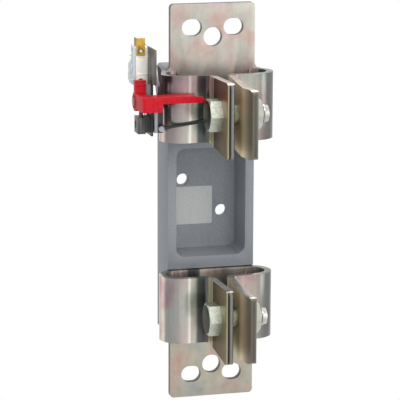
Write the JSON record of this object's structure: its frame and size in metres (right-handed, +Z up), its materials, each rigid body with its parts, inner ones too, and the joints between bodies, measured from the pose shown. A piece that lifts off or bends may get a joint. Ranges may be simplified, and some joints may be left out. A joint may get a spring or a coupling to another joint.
{
  "type": "fuse base",
  "caption": "Single-pole knife-blade fuse base with bolt-clamped bent-sheet contacts and a signalling switch with a red lever.",
  "frame": {"origin": "middle of the insulator block's back face, which lies on the panel", "axes": "+X to the right seen from the front, +Y back into the panel, +Z up along the base's length"},
  "size_m": [0.1066, 0.1115, 0.297],
  "materials": {
    "block_grey": "satin",
    "label_grey": "matte",
    "tinned_copper": "satin",
    "zinc_steel": "satin",
    "spring_steel": "satin",
    "black_steel": "satin",
    "bright_steel": "polished",
    "switch_white": "matte",
    "cover_white": "matte",
    "plunger_red": "gloss",
    "brass_leaf": "satin",
    "lever_red": "gloss",
    "stop_black": "satin",
    "wire_black": "satin"
  },
  "bodies": {
    "fuse_base": {"insulator_block": "block_grey", "rating_label": "label_grey", "upper_plate": "tinned_copper", "upper_left_jaw": "tinned_copper", "upper_right_jaw": "tinned_copper", "lower_plate": "tinned_copper", "lower_left_jaw": "tinned_copper", "lower_right_jaw": "tinned_copper", "contact_screws": "zinc_steel", "contact_washers": "zinc_steel", "clamp_nuts": "zinc_steel", "spring_washers": "spring_steel", "side_plate": "black_steel", "loop_bracket": "bright_steel", "bracket_rivets": "zinc_steel", "wire_eyelet": "bright_steel", "retaining_wire": "wire_black", "switch_body": "switch_white", "switch_cover": "cover_white", "switch_screws": "zinc_steel", "switch_nuts": "zinc_steel", "common_terminal": "brass_leaf", "back_terminals": "brass_leaf", "lever_pin": "zinc_steel", "pin_ring": "spring_steel", "stop_block": "stop_black"},
    "signal_lever": {"signal_lever": "lever_red", "lever_spring": "spring_steel"},
    "switch_plunger": {"switch_plunger": "plunger_red"},
    "upper_clamp_bolt": {"upper_clamp_bolt": "zinc_steel"},
    "lower_clamp_bolt": {"lower_clamp_bolt": "zinc_steel"}
  },
  "joints": [
    {"name": "lever_hinge", "type": "hinge", "parent": "fuse_base", "child": "signal_lever", "pos_m": [-0.057, -0.05, 0.081], "axis": [-1, 0, 0], "range_deg": [0, 6], "stiffness_Nm_per_rad": 0.02, "springref_deg": -20.05},
    {"name": "plunger_slide", "type": "slide", "parent": "fuse_base", "child": "switch_plunger", "axis": [0, 1, 0], "range_m": [0, 0.0018]},
    {"name": "upper_bolt_turn", "type": "hinge", "parent": "fuse_base", "child": "upper_clamp_bolt", "pos_m": [0, -0.086, 0.075], "axis": [1, 0, 0], "continuous": true},
    {"name": "lower_bolt_turn", "type": "hinge", "parent": "fuse_base", "child": "lower_clamp_bolt", "pos_m": [0, -0.086, -0.075], "axis": [1, 0, 0], "continuous": true}
  ],
  "couplings": [
    {"joint": "plunger_slide", "follows": "lever_hinge", "m_per_rad": 0.0165}
  ]
}
